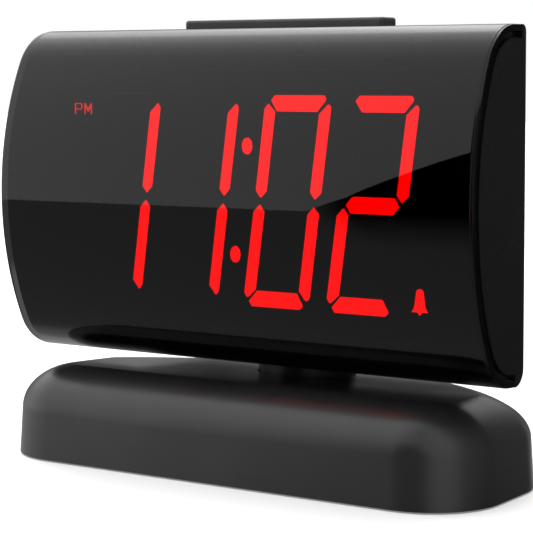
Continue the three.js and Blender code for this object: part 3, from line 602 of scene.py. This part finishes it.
def make_pm_letters():
    """The small PM sign, in plain strokes, in mm."""
    left, foot, width, height, stroke, gap, corner = -62.1, 106.1, 2.8, 3.4, 0.27, 1.0, 0.35
    waist = height * 0.42
    arm, valley_foot, valley_top, shoulder = height * 0.66, height * 0.2, height * 0.5, stroke * 1.1
    stem = [(0, 0), (stroke, 0), (stroke, height), (0, height)]
    bowl = [(stroke, height), (stroke, height - stroke), (width - stroke, height - stroke),
            (width - stroke, waist + stroke), (stroke, waist + stroke), (stroke, waist),
            (width - corner, waist), (width, waist + corner), (width, height - corner),
            (width - corner, height)]
    letter_m = [(0, 0), (stroke, 0), (stroke, arm), (width / 2, valley_foot),
                (width - stroke, arm), (width - stroke, 0), (width, 0), (width, height),
                (width - shoulder, height), (width / 2, valley_top), (shoulder, height),
                (0, height)]
    second = left + width + gap
    letters = [[(left + x, foot + z) for x, z in shape] for shape in (stem, bowl)]
    letters.append([(second + x, foot + z) for x, z in letter_m])
    dress(raised("pm_letters", letters, SIGN_DEPTH), "indicator_light", "head",
          ["pm_light_guide"])


def make_bell():
    """The bell sign: a domed crown, flared sides and a pointed foot, in mm."""
    bell_x, dome_z, dome_radius, skirt_z, foot_z = 60.3, 58.1, 1.15, 52.8, 51.9
    side = [(0.75, 0), (2.6, 0), (2.15, 0.55), (1.75, 1.4), (1.5, 2.8)]
    right = [(bell_x + out, skirt_z + up) for out, up in side]
    left = [(2 * bell_x - x, z) for x, z in reversed(right)]
    crown = arc((bell_x, dome_z), dome_radius, 0, 180, 14)
    dress(raised("bell_sign", [[(bell_x, foot_z), *right, *crown, *left]], SIGN_DEPTH),
          "indicator_light", "head", ["bell_light_guide"], BELL_GLOW)


def fill_window(node, name):
    """The black insert that fills the mask's window behind a sign, back from its lit face."""
    low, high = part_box(node)
    insert = block(name, (low.x, GUIDE_FRONT + SIGN_DEPTH + 0.05 * MM, low.z), high)
    dress(soften(insert, 0.15 * MM), "display_mask", "head")


# ------------------------------------------------------------------ snooze bar, neck and controls

# CAD pieces kept in shape and given rounded edges: (slot, rounding in mm, body).
REFINED = {
    "rear_cover": ("cover_body", 0.35, "head"),
    "dc_socket": ("socket_body", 0.12, "head"),
    "set_button": ("button_caps", 0.3, "set_key"),
    "alarm_button": ("button_caps", 0.3, "alarm_key"),
    "minus_button": ("button_caps", 0.3, "minus_key"),
    "plus_button": ("button_caps", 0.3, "plus_key"),
    "alarm_switch_knob": ("button_caps", 0.2, "alarm_knob"),
    "dimmer_wheel": ("thumb_wheel", 0.1, "dimmer"),
    "battery_door": ("cover_body", 0.2, "battery_hatch"),
    "base_bottom_plate": ("inner_plastic", 0.2, "base"),
}


def rounded_rectangle(x0, x1, y0, y1, radius):
    """Plan of a rectangle with round corners."""
    corners = [(x1 - radius, y0 + radius, -90), (x1 - radius, y1 - radius, 0),
               (x0 + radius, y1 - radius, 90), (x0 + radius, y0 + radius, 180)]
    return [point for x, y, start in corners
            for point in arc((x, y), radius, start, start + 90, 6)]


def make_snooze_bar():
    """The long snooze bar, its top edge rounded over, its sole hidden in the head."""
    low, high = SNOOZE_BOX
    rear, sole = 2.3 * MM, HEAD_TOP - 3 * MM
    corner, top_rounding, near = 1.3 * MM, 0.9 * MM, 0.001 * MM
    outline = rounded_rectangle(low.x, high.x, low.y, rear, corner)
    bar = bar_of("snooze_bar_top", [(x, y, sole) for x, y in outline], (0, 0, high.z - sole))
    edit(bar)
    pick(bar, "EDGE", lambda e: all(v.co.z > high.z - near for v in e.verts))
    bpy.ops.mesh.bevel(offset=top_rounding, segments=5)
    level_flats(tidy(bar))
    dress(bar, "snooze_body", "snooze", ["snooze_bar"])


def make_neck():
    """The round neck, with a shaft down into the base and a spigot up into the head."""
    low, high = NECK_BOX
    middle = (low + high) / 2
    shoulder, top = 24.6 * MM, HEAD_BOTTOM - 0.3 * MM
    shaft_step, shaft_length, spigot_step, spigot_length = 6.2 * MM, 11 * MM, 8.2 * MM, 2 * MM
    neck = rod("neck_collar", (high.x - low.x) / 2, (middle.x, middle.y, shoulder),
               (middle.x, middle.y, top))
    edit(neck)
    pick(neck, "FACE", lambda f: f.normal.z < -0.9)
    bpy.ops.mesh.inset(thickness=shaft_step)
    extrude((0, 0, -shaft_length))
    pick(neck, "FACE", lambda f: f.normal.z > 0.9)
    bpy.ops.mesh.inset(thickness=spigot_step)
    extrude((0, 0, spigot_length))
    tidy(neck)
    level_flats(soften(neck, 0.35 * MM, 3, 40))
    dress(neck, "neck_body", "head", ["swivel_neck"])


def make_refined_pieces():
    """The rear cover, its controls and the base's bottom plate."""
    for node, (slot, rounding, body) in REFINED.items():
        dress(refined(node, rounding * MM), slot, body, [node])


# ------------------------------------------------------------------ base


def base_outline(inset, height):
    """Plan of the base: straight front, short sides and one broad rear arc."""
    half, rear = BASE_BOX[1].x - inset, BASE_BOX[1].y
    front_corner, side_corner, side_y = 22.1 * MM, 20 * MM, -5 * MM
    side_x = BASE_BOX[1].x - side_corner
    reach = rear - side_y
    rear_radius = (side_x ** 2 + reach ** 2 - side_corner ** 2) / (2 * (reach - side_corner))
    rear_y = rear - rear_radius
    turn = math.degrees(math.atan2(side_y - rear_y, side_x))
    front_x, front_y = BASE_BOX[1].x - front_corner, BASE_BOX[0].y + front_corner
    points = [
        *arc((front_x, front_y), half - front_x, -90, 0, 20),
        *arc((side_x, side_y), half - side_x, 0, turn, 10),
        *arc((0, rear_y), rear_radius - inset, turn, 180 - turn, 40)[1:-1],
        *arc((-side_x, side_y), half - side_x, 180 - turn, 180, 10),
        *arc((-front_x, front_y), half - front_x, 180, 270, 20),
    ]
    return [(x, y, height(y)) for x, y in points]


def make_base():
    """The base: drafted sides, a broad round shoulder and a top that falls to the rear."""
    bottom, shoulder, crease = BASE_BOX[0].z, 14.3 * MM, 27.9 * MM
    draft, reach = 0.8 * MM, 15.2 * MM
    fall = math.tan(math.radians(2.8))
    crease_y = BASE_BOX[0].y + draft + reach
    steps, crease_angle, smooth_angle = 14, 76, 12

    def top(y):
        return crease - (y - crease_y) * fall

    def ring(level):
        if level == 0:
            return base_outline(0, lambda y: bottom)
        angle = math.radians(crease_angle * (level - 1) / steps)
        share_in = (1 - math.cos(angle)) / (1 - math.cos(math.radians(crease_angle)))
        share_up = math.sin(angle) / math.sin(math.radians(crease_angle))
        return base_outline(draft + reach * share_in,
                            lambda y: shoulder + (top(y) - shoulder) * share_up)

    rings = [ring(level) for level in range(steps + 2)]
    base = draw("base_body_shell", rings[0])
    follow(base, rings)
    tidy(base, smooth_angle)

    neck_low, neck_high = NECK_BOX
    middle = (neck_low + neck_high) / 2
    well_floor, well_top, well_clearance = 23.6 * MM, 40 * MM, 0.5 * MM
    bore_radius, bore_foot, bore_top = 9.3 * MM, 2 * MM, 30 * MM
    skirt, recess = 2.2 * MM, 4 * MM
    well = rod("well", (neck_high.x - neck_low.x) / 2 + well_clearance,
               (middle.x, middle.y, well_floor), (middle.x, middle.y, well_top))
    bore = rod("bore", bore_radius, (middle.x, middle.y, bore_foot),
               (middle.x, middle.y, bore_top), sides=64)
    underside = draw("underside", base_outline(skirt, lambda y: -MM))
    extrude((0, 0, recess))
    tidy(underside)
    cut(base, [underside, well, bore])
    only(base)
    bpy.ops.object.shade_smooth_by_angle(angle=math.radians(smooth_angle))
    dress(base, "base_body", "base", ["base_shell"])


make_lens()
make_housing_core()
make_end_plates()
make_digits()
make_colon()
make_pm_letters()
make_bell()
fill_window("pm_light_guide", "pm_window_insert")
fill_window("bell_light_guide", "bell_window_insert")
make_snooze_bar()
make_neck()
make_refined_pieces()
make_base()
for node, piece in NODES.items():
    if not piece.hide_render:
        dress(piece, RECORD_SLOTS[node])

# ------------------------------------------------------------------ floor, light and camera


def pale_floor():
    """Matt near-white, with a faint glow of its own so that it runs into the white beyond."""
    surface, shader, tree = finish("pale_floor")
    colour = (0.9, 0.9, 0.9)
    shaded = [c * 0.99 for c in colour]
    tone = ramp(tree, noise(tree, scale=3, detail=2), [(0.3, shaded), (0.7, colour)])
    tree.links.new(tone, shader.inputs["Base Color"])
    shader.inputs["Roughness"].default_value = 0.9
    shader.inputs["Specular IOR Level"].default_value = 0.1
    shader.inputs["Emission Color"].default_value = (1, 1, 1, 1)
    shader.inputs["Emission Strength"].default_value = 0.18
    return surface


def lay_floor():
    """The floor, which the lens and the glossy plastics don't show."""
    bpy.ops.object.select_all(action="DESELECT")
    bpy.ops.mesh.primitive_plane_add(size=8, location=(0, 0, 0))
    floor = bpy.context.object
    floor.name = "studio_floor"
    floor.data.materials.append(pale_floor())
    floor.visible_glossy = False
    floor.visible_transmission = False


def hang(name, lamp):
    """Puts a lamp in the scene, unseen in gloss and through the lens."""
    holder = bpy.data.objects.new(name, lamp)
    bpy.context.scene.collection.objects.link(holder)
    holder.visible_glossy = False
    holder.visible_transmission = False
    return holder


def hang_overhead():
    """A broad soft light from above, a little from the left and behind."""
    lamp = bpy.data.lights.new("overhead", "SUN")
    lamp.energy = 3.0
    lamp.angle = math.radians(70)
    hang("overhead", lamp).rotation_euler = (math.radians(-12), math.radians(-14), 0)


def hang_softbox(name, place, aim, width, height, power):
    """A rectangular soft light, turned towards the point it is aimed at."""
    lamp = bpy.data.lights.new(name, "AREA")
    lamp.shape = "RECTANGLE"
    lamp.size, lamp.size_y = width, height
    lamp.energy = power
    holder = hang(name, lamp)
    holder.location = place
    holder.rotation_euler = (Vector(aim) - Vector(place)).to_track_quat("-Z", "Y").to_euler()
    holder.visible_camera = False


# The studio as it shows in gloss. Each table is read by compass, in degrees from the front of the
# clock (0) to its right (90), as (compass, value). HORIZON is the height in degrees where the
# ground ends and the walls begin. WALLS, LOW_WALLS and GROUND are brightnesses. STAND is a share
# from 0 to 1 of the stand's shade on the ground, full at STAND_TOP and gone at STAND_FOOT.
HORIZON = [(-180, -5.9), (-31.8, -5.9), (-31.0, -1.2), (-30.2, 2.9), (-29.6, 6.5),
           (-28.9, 10.3), (-28.3, 15.3), (-26, 28), (-10, 36), (14, 30), (26, 6), (34, -5.9),
           (180, -5.9)]
WALLS = [(-180, 0.45), (-163, 1.0), (-150, 2.0), (-147, 2.1), (-140, 1.55), (-135, 1.5),
         (-130, 1.45), (-120, 1.42), (-109, 1.4), (-100, 1.32), (-88, 1.22), (-76, 1.15),
         (-50, 1.06), (-41, 0.94), (-31, 0.80), (-12, 0.6), (25, 0.45), (62, 0.8), (88, 0.16),
         (125, 0.04), (160, 0.04), (172, 0.22), (180, 0.45)]
LOW_WALLS = [(-180, 0.16), (-120, 0.2), (-100, 0.8), (-80, 1.1), (-50, 1.06), (-41, 0.94),
             (-31, 0.80), (-12, 0.6), (25, 0.45), (62, 0.6), (88, 0.16), (125, 0.05),
             (160, 0.05), (172, 0.35), (180, 0.4)]
GROUND = [(-180, 0.55), (-126, 0.54), (-86, 0.48), (-74, 0.31), (-60, 0.28), (-41, 0.265),
          (-30, 0.25), (-5, 0.1), (20, 0.12), (38, 0.4), (60, 0.4), (85, 0.12), (125, 0.04),
          (160, 0.04), (180, 0.3)]
STAND = [(-180, 0), (-31.4, 0), (-31.0, 1), (24, 1), (36, 0), (180, 0)]
HORIZON_BLUR = 0.2
LOW_WALL_HEIGHT, HIGH_WALL_HEIGHT = 11, 24
STAND_TOP, STAND_FOOT = -5.5, -17


def build_studio():
    """The world: white to the camera, soft and even to matt surfaces, patterned to gloss."""
    world = bpy.data.worlds.new("studio")
    bpy.context.scene.world = world
    world.use_nodes = True
    tree = world.node_tree
    tree.nodes.clear()

    def math_node(operation, first, second=None):
        node = tree.nodes.new("ShaderNodeMath")
        node.operation = operation
        for socket, value in zip(node.inputs, (first, second)):
            if isinstance(value, (int, float)):
                socket.default_value = value
            elif value is not None:
                tree.links.new(value, socket)
        return node.outputs[0]

    def by_compass(stops, low, high):
        """A value read off the stops, through a ramp that holds it scaled from low to high."""
        node = tree.nodes.new("ShaderNodeValToRGB")
        marks = node.color_ramp.elements
        while len(marks) < len(stops):
            marks.new(0.5)
        for mark, (degrees, value) in zip(marks, stops):
            mark.position = (degrees + 180) / 360
            mark.color = (*[(value - low) / (high - low)] * 3, 1)
        tree.links.new(compass, node.inputs["Fac"])
        return spread(tree, node.outputs["Color"], 0, 1, low, high)

    def mix(share, first, second):
        return math_node("ADD", math_node("MULTIPLY", first, math_node("SUBTRACT", 1, share)),
                         math_node("MULTIPLY", second, share))

    def background(strength):
        node = tree.nodes.new("ShaderNodeBackground")
        node.inputs["Color"].default_value = (1, 1, 1, 1)
        if isinstance(strength, float):
            node.inputs["Strength"].default_value = strength
        else:
            tree.links.new(strength, node.inputs["Strength"])
        return node.outputs[0]

    def choose(share, first, second):
        node = tree.nodes.new("ShaderNodeMixShader")
        for socket, link in zip(node.inputs, (share, first, second)):
            tree.links.new(link, socket)
        return node.outputs[0]

    towards = tree.nodes.new("ShaderNodeTexCoord")
    split = tree.nodes.new("ShaderNodeSeparateXYZ")
    tree.links.new(towards.outputs["Generated"], split.inputs[0])
    turn = math_node("ARCTAN2", split.outputs["X"], math_node("MULTIPLY", split.outputs["Y"], -1))
    compass = math_node("ADD", math_node("DIVIDE", turn, 2 * math.pi), 0.5)
    height = math_node("MULTIPLY", math_node("ARCSINE", split.outputs["Z"]), 180 / math.pi)

    over_horizon = math_node("SUBTRACT", height, by_compass(HORIZON, -90, 90))
    above = spread(tree, over_horizon, -HORIZON_BLUR, HORIZON_BLUR, 0, 1)
    high_up = spread(tree, height, LOW_WALL_HEIGHT, HIGH_WALL_HEIGHT, 0, 1)
    walls = mix(high_up, by_compass(LOW_WALLS, 0, 2), by_compass(WALLS, 0, 4))
    below_stand = spread(tree, height, STAND_TOP, STAND_FOOT, 0, 1)
    shade = mix(by_compass(STAND, 0, 1), 1, below_stand)
    ground = math_node("MULTIPLY", by_compass(GROUND, 0, 1), shade)
    pattern = mix(above, ground, walls)

    left_light, right_light = 0.75, 0.4
    matt = background(spread(tree, split.outputs["X"], -0.2, 0.8, left_light, right_light))
    ray = tree.nodes.new("ShaderNodeLightPath")
    shown = choose(ray.outputs["Is Glossy Ray"], matt, background(pattern))
    shown = choose(ray.outputs["Is Camera Ray"], shown, background(1.0))
    out = tree.nodes.new("ShaderNodeOutputWorld")
    tree.links.new(shown, out.inputs["Surface"])


def place_camera():
    """A long lens from the front right, slightly above the middle of the head."""
    compass, downward = 33.44, 3.35
    camera_data = bpy.data.cameras.new("camera")
    camera = bpy.data.objects.new("camera", camera_data)
    bpy.context.scene.collection.objects.link(camera)
    bpy.context.scene.camera = camera
    camera_data.sensor_width = 36
    camera_data.lens = 127.07
    camera_data.shift_y = -0.15
    camera_data.clip_start, camera_data.clip_end = 0.01, 50
    camera.location = (0.31093, -0.48443, 0.1180)
    camera.rotation_euler = (math.radians(90 - downward), 0, math.radians(compass))


lay_floor()
build_studio()
hang_overhead()
hang_softbox("back_left_softbox", (-0.62, 0.45, 0.85), (0, 0, 0.12), 0.5, 0.34, 2.0)
place_camera()
bpy.context.scene.view_settings.view_transform = "Standard"
